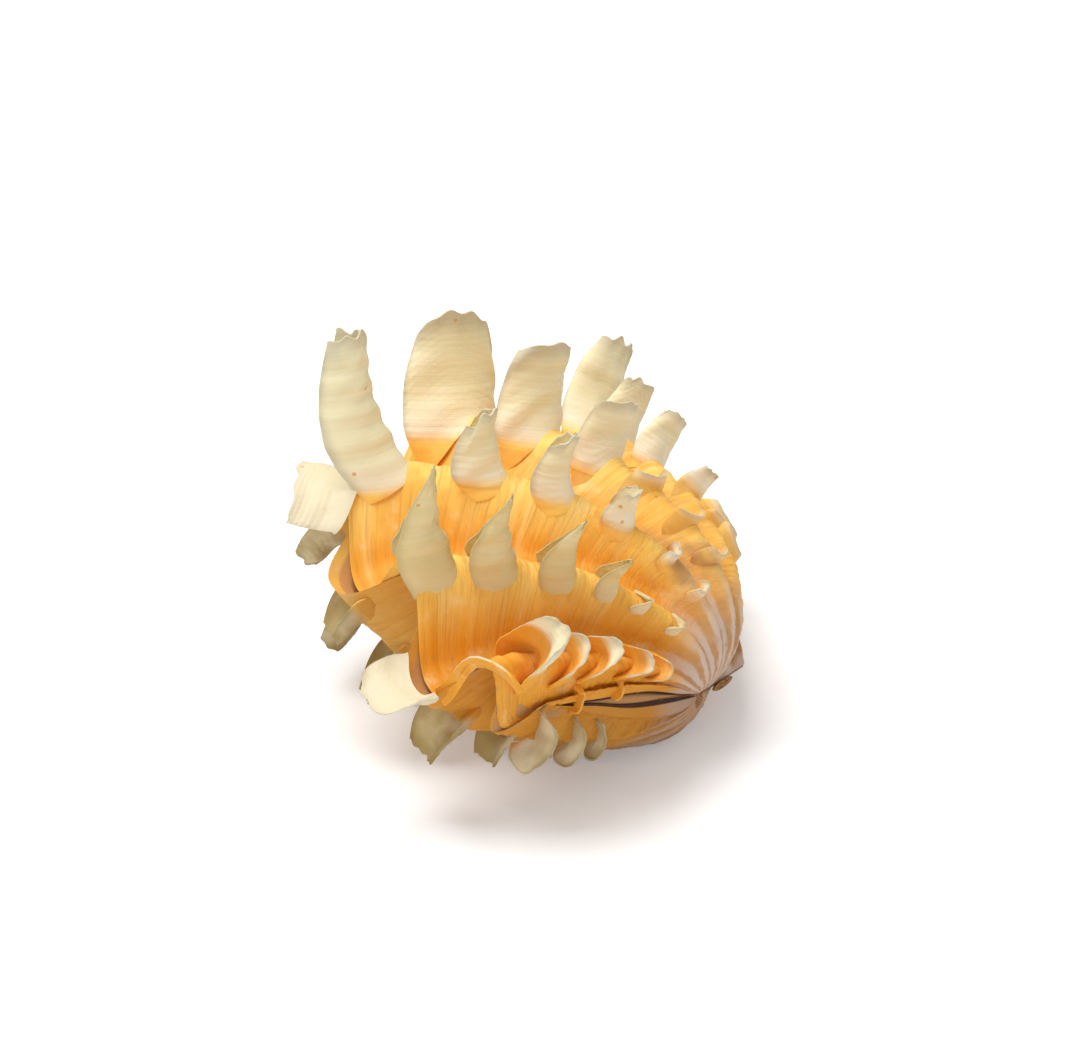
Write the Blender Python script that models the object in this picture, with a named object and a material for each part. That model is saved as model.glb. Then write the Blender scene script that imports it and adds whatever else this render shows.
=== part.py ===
"""A fluted giant clam: a closed pair of valves that lies on its lower valve.

Each valve is one logarithmic spiral. Its margin is a scalloped curve, and every earlier
stage of growth is the same curve, smaller and turned about the hinge. The ribs are the
scallops carried back to the beak, and the scutes are old lips left standing on the ribs.

The shell frame has its origin at the beaks: x runs to the ventral margin, y to the
anterior end, and z up out of the upper valve. One unit there is HEIGHT metres.
"""

from collections import namedtuple
import math

import bmesh
import bpy
from mathutils import Matrix, Vector

# Size and rest, in metres and degrees
HEIGHT = 0.086
TILT = 22.0
ROLL = -10.0
BEAKS = Vector((0.04682, -0.0009, 0.0151))
FLOOR_BLOCK = Vector((0.3, 0.3, 0.05))

# Growth
COIL = {1: 0.885, -1: 0.76}
FREE_TURN = math.radians(70)
BEAK_TURN = math.radians(45)
YOUNGEST = 0.05
BEAK_TURNS = (0.67, 0.33)
WELD = 1e-6
SMOOTH = 0.08
RIBBED = 0.35
INNER_TURN = 1.0
INNER_SHARE = 0.9

# Margin, in shell heights
RIB_RISE = 0.10
RIB_REACH = 0.075
ROUNDING = 0.35
RIM = 0.06
BYSSAL_GAPE = 0.014
GAPE_POSITIONS = (-0.5, 0.5)
GAPE_STAGES = (0.1, 0.8)
CLEARANCE = 0.004

# Mesh density
STEPS_PER_RIB = 5
CROWDING = 1.5
OUTER_ROWS = 9
INNER_ROWS = 4
HOLLOW_FIRST = 1.0
HOLLOW_LAST = 6.4
HOLLOW_YOUNGEST = 0.32
HOLLOW_DROP = 0.2
OVERSHOOT = 0.05

# Scutes, in shell heights
SHEET = 0.022
TIP_SHEET = 0.5
ROOT = 0.012
FOOT = 0.7
OPEN_AT = 0.4
POINTED = 0.15
LEAF_CURVE = 1.15
SPATULA_TAPER = 0.25
BOW = 0.08
HOOD_SWING = math.radians(82)
LAST_STAGE = 0.99
PACE_STEP = 0.05
AGE_STEP = 0.02
FRAME_STEP = 0.004
FAR_SIDE = (0.3, 1.5)
FAR_SIDE_ENDS = (-0.8, 6.8)
LONG_SCUTE = 0.15
SHORT_SCUTE = 0.06

# The margin's mean line. Positions count the upper valve's ribs from the byssal gape (0)
# back to the end of the hinge (7), and each gives x, y and how strong the scallop is.
Station = namedtuple("Station", "x y strength")
OUTLINE = {
    -1: Station(0.00, 0.02, 0.0),
    0: Station(0.185, 0.56, 0.15),
    1: Station(0.335, 0.765, 1.0),
    2: Station(0.67, 0.545, 1.0),
    3: Station(0.975, 0.255, 1.0),
    4: Station(0.975, -0.30, 1.0),
    5: Station(0.735, -0.71, 0.9),
    6: Station(0.36, -0.80, 0.5),
    7: Station(0.00, -0.30, 0.0),
}

# A rib's scutes: the stages of growth at which they stand and their lengths, with their
# width as a share of the stage. Lean is in degrees from the surface's normal towards the
# margin, near 90 for a lip that only carries the wall on. Cup is how deep the hood is for
# its half width. Tip is 0 for a leaf's point and 1 for a spatula. Slope is how far the top
# drops to the sides, and twist is where across the hood, in radians, the tip stands.
Scutes = namedtuple("Scutes", "stages lengths width lean cup tip slope twist")
UPPER_SCUTES = [
    (0.0, Scutes((0.90, 0.66), (0.02, 0.02), 0.08, 20, 0.6, 1.0, 0.1, 0.0)),
    (1.0, Scutes((0.81,), (0.18,), 0.19, 10, 1.1, 0.9, 0.2, 0.0)),
    (1.0, Scutes((0.70, 0.60, 0.47, 0.36), (0.09, 0.11, 0.08, 0.04), 0.20, 10, 0.9, 0.9, 0.2, 0.0)),
    (2.0, Scutes((0.88, 0.74, 0.60), (0.40, 0.32, 0.27), 0.165, 7, 2.5, 0.0, 0.4, -0.8)),
    (2.0, Scutes((0.50, 0.41, 0.31), (0.16, 0.04, 0.03), 0.14, 7, 2.0, 0.3, 0.3, -0.6)),
    (3.0, Scutes((0.89,), (0.43,), 0.21, 12, 1.8, 0.75, 0.1, -0.3)),
    (3.0, Scutes((0.71, 0.58, 0.46), (0.22, 0.21, 0.13), 0.19, 12, 1.9, 0.9, 0.4, -0.1)),
    (3.0, Scutes((0.36, 0.28), (0.04, 0.03), 0.19, 12, 1.2, 0.9, 0.2, 0.0)),
    (4.0, Scutes((0.90,), (0.30,), 0.40, 5, 0.6, 1.15, 0.6, -0.45)),
    (4.0, Scutes((0.745, 0.60), (0.25, 0.17), 0.36, 5, 0.6, 1.1, 0.2, -0.3)),
    (4.0, Scutes((0.50, 0.40, 0.32), (0.04, 0.03, 0.03), 0.36, 5, 0.6, 1.1, 0.1, 0.0)),
    (5.0, Scutes((0.955, 0.85, 0.72), (0.27, 0.18, 0.15), 0.17, 7, 0.5, 0.9, 0.1, 0.0)),
    (5.0, Scutes((0.57, 0.475), (0.09, 0.03), 0.17, -2, 0.5, 0.9, 0.1, 0.0)),
    (6.0, Scutes((0.93, 0.76), (0.04, 0.03), 0.18, 10, 0.4, 0.9, 0.1, 0.0)),
]
UPPER_LIPS = [
    (1.1, Scutes((0.98,), (0.06,), 0.34, 64, 0.3, 1.0, 0.1, 0.0)),
    (3.0, Scutes((0.98,), (0.16,), 0.24, 76, 0.5, 0.9, 0.3, 0.0)),
]
LOWER_SCUTES = [
    (0.5, Scutes((0.80, 0.62, 0.50), (0.08, 0.05, 0.03), 0.20, 15, 0.6, 1.3, 0.1, 0.0)),
    (1.5, Scutes((0.80, 0.64, 0.51), (0.14, 0.09, 0.03), 0.24, 12, 0.6, 0.9, 0.1, 0.0)),
    (2.5, Scutes((0.90, 0.76, 0.63, 0.50), (0.09, 0.15, 0.13, 0.04), 0.24, 0, 0.8, 0.8, 0.1, 0.0)),
    (3.5, Scutes((0.93, 0.79, 0.63, 0.50), (0.16, 0.25, 0.17, 0.04), 0.27, 0, 0.8, 0.9, 0.1, 0.0)),
    (4.5, Scutes((0.95, 0.79, 0.65, 0.52), (0.24, 0.22, 0.11, 0.03), 0.26, 0, 0.8, 0.9, 0.1, 0.0)),
    (5.5, Scutes((0.93, 0.76, 0.62), (0.16, 0.10, 0.05), 0.22, 0, 0.6, 0.9, 0.1, 0.0)),
]
LOWER_LIPS = [
    (1.5, Scutes((0.98,), (0.13,), 0.22, 50, 0.3, 1.0, 0.3, 0.0)),
    (3.5, Scutes((0.98,), (0.09,), 0.28, 65, 0.2, 1.0, 0.2, 0.0)),
]

# The dried ligament behind the beaks, in shell heights
LIGAMENT_AT = Vector((-0.010, -0.13, 0.0))
LIGAMENT_HALF = Vector((0.010, 0.065, 0.014))
LIGAMENT_FACES = 8

UPPER_COLOUR = (0.90, 0.52, 0.13)
LOWER_COLOUR = (0.85, 0.55, 0.25)
SHELL_ROUGHNESS = 0.55
LIGAMENT_COLOUR = (0.08, 0.035, 0.015)
LIGAMENT_ROUGHNESS = 0.7


def spline(before, start, end, after, share):
    """A smooth value between start and end, with their neighbours' slopes."""
    slope_start = (end - before) / 2
    slope_end = (after - start) / 2
    square = share * share
    cube = square * share
    return (
        (2 * cube - 3 * square + 1) * start
        + (cube - 2 * square + share) * slope_start
        + (3 * square - 2 * cube) * end
        + (cube - square) * slope_end
    )


def outline(position):
    """The margin's mean line and the scallop's strength at a position along it."""
    first = min(math.floor(position), 6)
    around = [OUTLINE[min(max(first + step, -1), 7)] for step in (-1, 0, 1, 2)]
    return Station(*(spline(*values, position - first) for values in zip(*around)))


def bump(value, start, end):
    """Rises from 0 at start to 1 midway and falls back to 0 at end."""
    if not start < value < end:
        return 0.0
    return math.sin(math.pi * (value - start) / (end - start)) ** 2


def margin(side, position, stage=1.0):
    """The edge of a valve as if fully grown, 1 for the upper valve and -1 for the lower.

    A young shell is smooth, so at an early stage the scallops are still weak.
    """
    mean = outline(position)
    ribbed = mean.strength * min(max((stage - SMOOTH) / (RIBBED - SMOOTH), 0), 1)
    wave = side * math.cos(2 * math.pi * position)
    wave = ribbed * wave * (1 + ROUNDING * (1 - wave * wave))
    reach = 1 + RIB_REACH * (ribbed + wave) / 2
    return Vector((mean.x * reach, mean.y * reach, RIB_RISE * wave * reach))


def grown(point, stage, turn):
    """A margin point at an earlier stage, smaller and turned about the hinge."""
    across = stage * (point.x * math.cos(turn) - point.z * math.sin(turn))
    up = stage * (point.x * math.sin(turn) + point.z * max(math.cos(turn), 0))
    return Vector((across, stage * point.y, up))


def lifted(point):
    """Kept on its own valve's side of the plane between the valves near the hinge."""
    return Vector((point.x, point.y, point.z + CLEARANCE))


def turn_at(side, stage):
    """How far a stage is turned back about the hinge. The last turns of the beak are held back."""
    turn = COIL[side] * math.log(1 / stage)
    over = max(turn - FREE_TURN, 0)
    return min(turn, FREE_TURN) + BEAK_TURN * (1 - math.exp(-over / BEAK_TURN))


def outside(side, stage, position):
    """A point of a valve's outer surface, in the valve's own frame, z outward."""
    return lifted(grown(margin(side, position, stage), stage, turn_at(side, stage)))


def between(side, stage, position):
    """A point of the surface that faces the other valve, with the gape for the byssus in front."""
    gape = BYSSAL_GAPE * bump(position, *GAPE_POSITIONS) * bump(stage, *GAPE_STAGES)
    return lifted(margin(side, position, stage) * stage + Vector((0, 0, gape)))


def inside(side, stage, position):
    """A point of the inner surface, which turns less and so leaves a thick umbo."""
    turn = INNER_TURN * (1 - math.exp(-COIL[side] * math.log(1 / stage) / INNER_TURN))
    return lifted(grown(inner_edge(side, position, stage), stage, turn * INNER_SHARE))


def inner_edge(side, position, stage=1.0):
    """The margin's inner edge, on the line from the beak so that the ribs stay in step."""
    edge = margin(side, position, stage)
    return edge * (1 - RIM / edge.length)


def growth_frame(side, stage, position):
    """Unit vectors on the outer surface: towards the margin, along it, and outward."""
    older = outside(side, stage + FRAME_STEP, position)
    after = outside(side, stage, position + FRAME_STEP)
    towards = older - outside(side, stage - FRAME_STEP, position)
    along = after - outside(side, stage, position - FRAME_STEP)
    towards.normalize()
    outward = along.cross(towards).normalized()
    return towards, outward.cross(towards).normalized(), outward


def new_object(name, mesh, collection, material=None):
    item = bpy.data.objects.new(name, mesh)
    collection.objects.link(item)
    if material:
        mesh.materials.append(material)
    return item


def bridge(shape, first, second):
    """Joins two rows of vertices of the same length with quads."""
    corners = zip(first, first[1:], second[1:], second)
    return [shape.faces.new(quad) for quad in corners]


def lofted(sections):
    """A skin round closed sections with the same number of points, open at its two ends."""
    shape = bmesh.new()
    rings = [[shape.verts.new(point) for point in section] for section in sections]
    for first, second in zip(rings, rings[1:]):
        bridge(shape, first + first[:1], second + second[:1])
    return shape


def positions(first, last):
    count = round((last - first) * STEPS_PER_RIB)
    return [first + (last - first) * step / count for step in range(count + 1)]


def stages(smallest, rows):
    """Stages from full growth down, closer together near the margin."""
    return [smallest ** ((row / rows) ** CROWDING) for row in range(rows + 1)]


def solid_valve(side):
    """The valve with no hollow: over the outer surface to the umbo and back between the valves.

    The last section lies along the hinge line, where the two sheets are welded.
    """
    ages = stages(YOUNGEST, OUTER_ROWS)
    sections = []
    for position in positions(0, 7):
        over = [outside(side, stage, position) for stage in ages]
        beak = [young_edge(side, position, share) for share in BEAK_TURNS]
        back = [between(side, stage, position) for stage in reversed(ages[1:])]
        sections.append(over + beak + back)
    shape = lofted(sections)
    close_front(shape, len(ages))
    bmesh.ops.remove_doubles(shape, verts=shape.verts, dist=WELD)
    return shape


def young_edge(side, position, share):
    """The youngest growth line part of the way round from the beak to the other valve."""
    edge = margin(side, position, YOUNGEST)
    return lifted(grown(edge, YOUNGEST, turn_at(side, YOUNGEST) * share))


def close_front(shape, count):
    """Joins each point of the first section's outer line to the one between the valves."""
    shape.verts.ensure_lookup_table()
    section = list(shape.verts)[: 2 * count - 1 + len(BEAK_TURNS)]
    outer = section[:count]
    inner = section[:1] + section[:-count:-1]
    beak = section[count:-count + 1]
    bridge(shape, outer[1:-1], inner[1:-1])
    shape.faces.new((outer[0], outer[1], inner[1]))
    shape.faces.new((*outer[-2:], *beak, *reversed(inner[-2:])))


def hollow(side):
    """The room inside a valve, carried on through the plane between the valves."""
    below = Vector((0, 0, -HOLLOW_DROP))
    sections = []
    for position in positions(HOLLOW_FIRST, HOLLOW_LAST):
        edge = inner_edge(side, position)
        over = [inside(side, stage, position) for stage in stages(HOLLOW_YOUNGEST, INNER_ROWS)]
        over[0] += below * OVERSHOOT
        sections.append(over + [edge * HOLLOW_YOUNGEST + below, edge + below])
    shape = lofted(sections)
    bmesh.ops.holes_fill(shape, edges=shape.edges)
    return shape


def far_side(side):
    """The room past the surface where the valves meet. Nothing that grows on a valve enters it."""
    below = Vector((0, 0, -HOLLOW_DROP))
    gap = Vector((0, 0, CLEARANCE / 2))
    sections = []
    for position in positions(*FAR_SIDE_ENDS):
        near, far = (margin(side, position) * reach for reach in FAR_SIDE)
        sections.append([near + gap, far + gap, far + below, near + below])
    shape = lofted(sections)
    bmesh.ops.holes_fill(shape, edges=shape.edges)
    return shape


def scute_rows(side, position, stage, length, style):
    """Points of a scute's middle surface, a hood on the rib's crest, in rows from root to tip."""
    towards, along, outward = growth_frame(side, stage, position)
    crest = outside(side, stage, position)
    pace = (outside(side, stage, position + PACE_STEP) - crest).length / PACE_STEP
    speed = (outside(side, stage - AGE_STEP, position) - crest).length / AGE_STEP
    half = style.width * stage / 2
    lean = math.radians(style.lean)
    rise = outward * math.cos(lean) + towards * math.sin(lean)
    upright = math.cos(lean) ** 2
    tip_side = math.sin(style.twist) * half
    tip_ahead = (1 - math.cos(style.twist)) * half * style.cup
    across_steps, along_steps = mesh_steps(length)
    rows = []
    for row in range(along_steps + 1):
        height = row / along_steps
        narrow = 1 - (1 - breadth(height, style.tip)) * upright
        bow = BOW * length * math.sin(math.pi * height)
        line = []
        for column in range(across_steps + 1):
            swing = HOOD_SWING * (2 * column / across_steps - 1)
            sideways = math.sin(swing) * half
            curled = (1 - math.cos(swing)) * half * style.cup
            ahead = min(stage + curled * FOOT / speed, LAST_STAGE)
            root = outside(side, ahead, position + sideways * FOOT / pace)
            sunk = ROOT * (1 + math.sin(swing) ** 2) * (1 - height)
            level = (root - crest).dot(outward) * (1 - height * upright) - sunk
            across = tip_side + (sideways - tip_side) * narrow
            forward = tip_ahead + (curled - tip_ahead) * narrow + bow
            drop = style.slope * (1 - math.cos(swing - style.twist)) * narrow
            reached = length * height * (1 - drop)
            point = crest - along * across + towards * forward + outward * level + rise * reached
            line.append(point)
        rows.append(line)
    return rows


def breadth(height, tip):
    """A scute's width at a height, as a share of its greatest width."""
    opened = FOOT + (1 - FOOT) * math.sin(math.pi / 2 * min(height / OPEN_AT, 1))
    spatula = 1 - SPATULA_TAPER * height**3
    leaf = max(1 - height, POINTED) ** LEAF_CURVE * (1 + height)
    return opened * (tip * spatula + (1 - tip) * leaf)


def steps_apart(line, index):
    """From the point before to the point after, or to the end itself."""
    return line[min(index + 1, len(line) - 1)] - line[max(index - 1, 0)]


def scute_sheet(shape, side, position, stage, length, style):
    """A scute as a solid that thins towards its tip."""
    rows = scute_rows(side, position, stage, length, style)
    columns = list(zip(*rows))
    sections = []
    for row, line in enumerate(rows):
        half_sheet = SHEET / 2 * (1 - (1 - TIP_SHEET) * row / (len(rows) - 1))
        front = []
        back = []
        for column, point in enumerate(line):
            facing = steps_apart(line, column).cross(steps_apart(columns[column], row))
            facing.normalize()
            front.append(shape.verts.new(point + facing * half_sheet))
            back.append(shape.verts.new(point - facing * half_sheet))
        sections.append(front + back[::-1])
    faces = []
    for first, second in zip(sections, sections[1:]):
        faces += bridge(shape, first + first[:1], second + second[:1])
    for section in (sections[0], sections[-1]):
        middle = len(section) // 2
        faces += bridge(shape, section[:middle], section[:middle - 1:-1])
    bmesh.ops.triangulate(shape, faces=faces)


def mesh_steps(length):
    """How many faces a scute of this length has across and along."""
    if length > LONG_SCUTE:
        return 4, 3
    if length > SHORT_SCUTE:
        return 4, 2
    return 2, 1


def finished(shape, side, name):
    """The shape as a mesh, turned over for the lower valve, at its real size."""
    if side < 0:
        bmesh.ops.scale(shape, vec=(1, 1, -1), verts=shape.verts)
    bmesh.ops.transform(shape, matrix=lying_down(), verts=shape.verts)
    bmesh.ops.recalc_face_normals(shape, faces=shape.faces)
    mesh = bpy.data.meshes.new(name)
    shape.to_mesh(mesh)
    shape.free()
    return mesh


def lying_down():
    """From the shell frame to the frame it rests in: margin to the left, byssal side in front."""
    turned = Matrix.Diagonal((-1, -1, 1, 1))
    rolled = Matrix.Rotation(math.radians(ROLL), 4, "X")
    tilted = Matrix.Rotation(math.radians(TILT), 4, "Y")
    return Matrix.Translation(BEAKS) @ Matrix.Scale(HEIGHT, 4) @ tilted @ rolled @ turned


def rib_mesh(side, position, style, name):
    """The scutes of one rib."""
    shape = bmesh.new()
    for stage, length in zip(style.stages, style.lengths):
        scute_sheet(shape, side, position, stage, length, style)
    return finished(shape, side, name)


def new_helper(name, mesh, collection):
    helper = new_object(name, mesh, collection)
    helper.hide_render = True
    helper.display_type = "WIRE"
    return helper


def combine(item, helper, operation, solver="EXACT"):
    boolean = item.modifiers.new(helper.name, "BOOLEAN")
    boolean.operation = operation
    boolean.object = helper
    boolean.solver = solver


def floor_cutter(helpers):
    """A block under the floor, which the lowest scutes are worn flat against."""
    shape = bmesh.new()
    bmesh.ops.create_cube(shape, size=1)
    bmesh.ops.scale(shape, vec=FLOOR_BLOCK, verts=shape.verts)
    bmesh.ops.translate(shape, vec=(0, 0, -FLOOR_BLOCK.z / 2), verts=shape.verts)
    mesh = bpy.data.meshes.new("floor")
    shape.to_mesh(mesh)
    shape.free()
    return new_helper("floor", mesh, helpers)


def ligament_mesh(name):
    shape = bmesh.new()
    bmesh.ops.create_uvsphere(
        shape, u_segments=LIGAMENT_FACES, v_segments=LIGAMENT_FACES, radius=1
    )
    bmesh.ops.rotate(shape, matrix=Matrix.Rotation(math.radians(90), 3, "X"), verts=shape.verts)
    bmesh.ops.scale(shape, vec=LIGAMENT_HALF, verts=shape.verts)
    bmesh.ops.translate(shape, vec=LIGAMENT_AT, verts=shape.verts)
    return finished(shape, 1, name)


def make_valve(name, side, scutes, lips, material, parts, helpers):
    valve = new_object(name, finished(solid_valve(side), side, name), parts, material)
    room = new_helper(name + "_hollow", finished(hollow(side), side, "hollow"), helpers)
    combine(valve, room, "DIFFERENCE")
    for kind, group in (("scutes", scutes), ("lip", lips)):
        for number, (position, style) in enumerate(group):
            label = f"{name}_{kind}_{number}"
            ridge = new_helper(label, rib_mesh(side, position, style, label), helpers)
            combine(valve, ridge, "UNION")
    past = new_helper(name + "_far_side", finished(far_side(side), side, "far_side"), helpers)
    combine(valve, past, "DIFFERENCE", "MANIFOLD")
    return valve


def make_material(name, colour, roughness):
    material = bpy.data.materials.new(name)
    material.use_nodes = True
    shader = material.node_tree.nodes["Principled BSDF"]
    shader.inputs["Base Color"].default_value = (*colour, 1)
    shader.inputs["Roughness"].default_value = roughness
    shader.inputs["Metallic"].default_value = 0
    material.diffuse_color = (*colour, 1)
    return material


def new_collection(name):
    collection = bpy.data.collections.new(name)
    bpy.context.scene.collection.children.link(collection)
    return collection


def main():
    for item in list(bpy.data.objects):
        bpy.data.objects.remove(item, do_unlink=True)
    parts = new_collection("giant_clam_shell")
    helpers = new_collection("helpers")
    upper_shell = make_material("upper_shell", UPPER_COLOUR, SHELL_ROUGHNESS)
    lower_shell = make_material("lower_shell", LOWER_COLOUR, SHELL_ROUGHNESS)
    dried = make_material("dried_ligament", LIGAMENT_COLOUR, LIGAMENT_ROUGHNESS)
    make_valve("upper_valve", 1, UPPER_SCUTES, UPPER_LIPS, upper_shell, parts, helpers)
    lower = make_valve("lower_valve", -1, LOWER_SCUTES, LOWER_LIPS, lower_shell, parts, helpers)
    combine(lower, floor_cutter(helpers), "DIFFERENCE")
    new_object("hinge_ligament", ligament_mesh("hinge_ligament"), parts, dried)


main()
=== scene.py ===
"""Giant clam shell: the finish of a closed pair of fluted clam valves.

The fine surface is grown by the same rule as the solids. A valve is one logarithmic
spiral: its margin is a scalloped curve, and every earlier stage of growth is the same
curve, smaller and turned about the hinge. Scutes are old lips left standing on the ribs.

The shell frame has its origin at the beaks: x runs to the ventral margin, y to the
anterior end, and z up out of the upper valve. One unit there is HEIGHT metres.
"""

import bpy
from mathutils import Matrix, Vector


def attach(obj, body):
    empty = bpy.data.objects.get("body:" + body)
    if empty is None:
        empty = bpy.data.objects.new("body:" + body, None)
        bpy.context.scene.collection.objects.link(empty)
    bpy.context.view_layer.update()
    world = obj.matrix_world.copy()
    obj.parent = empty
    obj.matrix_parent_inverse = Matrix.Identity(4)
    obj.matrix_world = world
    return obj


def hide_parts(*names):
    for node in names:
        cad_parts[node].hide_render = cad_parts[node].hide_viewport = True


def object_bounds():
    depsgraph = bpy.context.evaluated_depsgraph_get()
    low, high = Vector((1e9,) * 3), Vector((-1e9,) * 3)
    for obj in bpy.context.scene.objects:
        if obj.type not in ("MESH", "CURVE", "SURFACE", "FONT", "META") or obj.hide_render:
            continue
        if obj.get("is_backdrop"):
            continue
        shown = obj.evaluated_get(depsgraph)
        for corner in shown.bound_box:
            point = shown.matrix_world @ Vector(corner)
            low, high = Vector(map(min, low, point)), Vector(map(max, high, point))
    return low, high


bl_info = {
    "name": "Giant Clam Shell",
    "version": (1, 0, 0),
    "blender": (4, 5, 0),
    "location": "3D View > Sidebar > Clam Shell",
    "description": "Grows the fluted valves of a giant clam and sets them on a pale floor",
    "category": "Add Mesh",
}

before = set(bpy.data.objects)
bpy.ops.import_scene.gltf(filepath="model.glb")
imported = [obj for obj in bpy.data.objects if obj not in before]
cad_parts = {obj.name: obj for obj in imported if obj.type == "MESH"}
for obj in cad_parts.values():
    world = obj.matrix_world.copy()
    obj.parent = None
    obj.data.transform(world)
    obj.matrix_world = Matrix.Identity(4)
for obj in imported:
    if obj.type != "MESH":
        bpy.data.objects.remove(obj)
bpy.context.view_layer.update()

from collections import namedtuple
import math

import bmesh
import bpy
from bpy.props import FloatProperty, FloatVectorProperty, IntProperty, PointerProperty
from mathutils import Matrix, Vector
import numpy as np

# Size and rest, in metres and degrees
HEIGHT = 0.086
TILT = 22.0
ROLL = -10.0
BEAKS = Vector((0.04682, -0.0009, 0.0151))
FLOOR_GAP = 0.0002

# Growth: how tightly the upper valve, 1, and the lower valve, -1, coil, then the rest in
# stages, which run from 0 at the beak to 1 at the margin, and in positions along the
# margin, which count the upper valve's ribs
COIL = {1: 0.885, -1: 0.76}
FREE_TURN = math.radians(70)
BEAK_TURN = math.radians(45)
YOUNGEST = 0.035
SMOOTH = 0.08
RIBBED = 0.35
INNER_TURN = 1.0
INNER_SHARE = 0.9
HOLLOW_AGES = (0.2, 0.4)
HOLLOW_ENDS = (1.0, 1.5, 5.9, 6.4)
GAPE_POSITIONS = (-0.5, 0.5)
GAPE_STAGES = (0.1, 0.8)
LAST_POSITION = 7

# Margin, in shell heights
RIB_RISE = 0.10
RIB_REACH = 0.075
ROUNDING = 0.35
RIM = 0.06
BYSSAL_GAPE = 0.015
CLEARANCE = 0.004

# Relief on the wall: heights in shell heights, and spacings in the logarithm of the stage
COARSE_SPACING = 0.062
FINE_SPACING = 0.021
COARSE_LINES = 0.0030
FINE_LINES = 0.0010
LUMPS = 0.0050
GROOVES = 0.0020
GROOVES_PER_RIB = 7
UMBO_RIBLETS = 0.0060

# Swells of the wall at the scutes' roots: the most in shell heights, and then shares of
# the scute's length, of its stage behind it and ahead of it, and of its width
SWELL_MOST = 0.016
SWELL_SHARE = 0.10
SWELL_BEHIND = 0.05
SWELL_AHEAD = 0.018
SWELL_WIDTH = 0.55

# Scutes, in shell heights
SHEET = 0.020
THIN_EDGE = 0.28
ROOT = 0.012
LONG_SCUTE = 0.15
SHORT_SCUTE = 0.06
WAVES = 0.0035
RIDGES = 0.0005
RIDGE_SPACING = 0.017
RIDGED_FROM = 0.1

# Scutes, as shares, positions and angles
WIDEST = 0.42
FOOT = 0.7
OPEN_AT = 0.4
LEAF_CURVE = 1.15
SPATULA_TAPER = 0.25
HOOD_SWING = math.radians(82)
BOW = 0.08
WORN_AWAY = 0.03

# Where each valve's scutes start their unevenness, and the step from one to the next
SCUTE_SEEDS = {1: 100, -1: 900}
SEED_STEP = 7

# Meshing
WELD = 1e-6
SHARP_ANGLE = math.radians(50)
BEAK_STEPS = 6
CAP_STEPS = 7
OUTER_CROWDING = 1.15
INNER_CROWDING = 1.3
RELIEF_STEP = 0.002
FRAME_STEP = 0.004
PACE_STEP = 0.05
AGE_STEP = 0.02
LAST_STAGE = 0.995
CONCAVE_SIDE = 0.3

Station = namedtuple("Station", "x y strength")
OUTLINE = {
    -1: Station(0.00, 0.02, 0.0),
    0: Station(0.185, 0.56, 0.15),
    1: Station(0.335, 0.765, 1.0),
    2: Station(0.67, 0.545, 1.0),
    3: Station(0.975, 0.255, 1.0),
    4: Station(0.975, -0.30, 1.0),
    5: Station(0.735, -0.71, 0.9),
    6: Station(0.36, -0.80, 0.5),
    7: Station(0.00, -0.30, 0.0),
}
OUTLINE_ROWS = np.array([OUTLINE[key] for key in range(-1, LAST_POSITION + 1)])

# A rib's scutes: stages of growth and lengths, width as a share of the stage, and lean in
# degrees from the surface's normal towards the margin. Cup is how far the sides curl, tip
# is 0 for a leaf's point and 1 for a spatula, slope is how much shorter the sides are, and
# twist is where the tip stands round the hood, in radians. Bare is the height over the
# crest up to which a scute keeps the wall's colour.
Scutes = namedtuple("Scutes", "stages lengths width lean cup tip slope twist bare")
UPPER_SCUTES = [
    (0.0, Scutes((0.90, 0.66), (0.02, 0.02), 0.08, 20, 0.6, 1.0, 0.1, 0.0, 0.01)),
    (1.0, Scutes((0.81,), (0.18,), 0.19, 10, 1.1, 0.9, 0.2, 0.0, 0.02)),
    (1.0, Scutes((0.70, 0.60), (0.09, 0.11), 0.20, 10, 0.9, 0.9, 0.2, 0.0, -0.01)),
    (1.0, Scutes((0.47, 0.36), (0.08, 0.04), 0.20, 10, 0.9, 0.9, 0.2, 0.0, -0.01)),
    (2.0, Scutes((0.88, 0.74, 0.60), (0.40, 0.32, 0.27), 0.165, 7, 2.5, 0.0, 0.4, -0.8, -0.12)),
    (2.0, Scutes((0.50, 0.41, 0.31), (0.16, 0.04, 0.03), 0.14, 7, 2.0, 0.3, 0.3, -0.6, -0.05)),
    (3.0, Scutes((0.89,), (0.43,), 0.21, 12, 1.8, 0.75, 0.1, -0.3, -0.05)),
    (3.0, Scutes((0.71, 0.58, 0.46), (0.22, 0.21, 0.13), 0.19, 12, 1.9, 0.9, 0.4, -0.1, -0.02)),
    (3.0, Scutes((0.36, 0.28), (0.04, 0.03), 0.19, 12, 1.2, 0.9, 0.2, 0.0, -0.01)),
    (4.0, Scutes((0.90,), (0.30,), 0.40, 5, 0.6, 1.15, 0.6, -0.45, -0.07)),
    (4.0, Scutes((0.745, 0.60), (0.25, 0.17), 0.36, 5, 0.6, 1.1, 0.2, -0.3, -0.05)),
    (4.0, Scutes((0.50, 0.40, 0.32), (0.04, 0.03, 0.03), 0.36, 5, 0.6, 1.1, 0.1, 0.0, 0.0)),
    (5.0, Scutes((0.955, 0.85, 0.72), (0.27, 0.18, 0.15), 0.17, 7, 0.5, 0.9, 0.1, 0.0, -0.03)),
    (5.0, Scutes((0.57, 0.475), (0.09, 0.03), 0.17, -2, 0.5, 0.9, 0.1, 0.0, 0.0)),
    (6.0, Scutes((0.93, 0.76), (0.04, 0.03), 0.18, 10, 0.4, 0.9, 0.1, 0.0, 0.0)),
]
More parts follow.
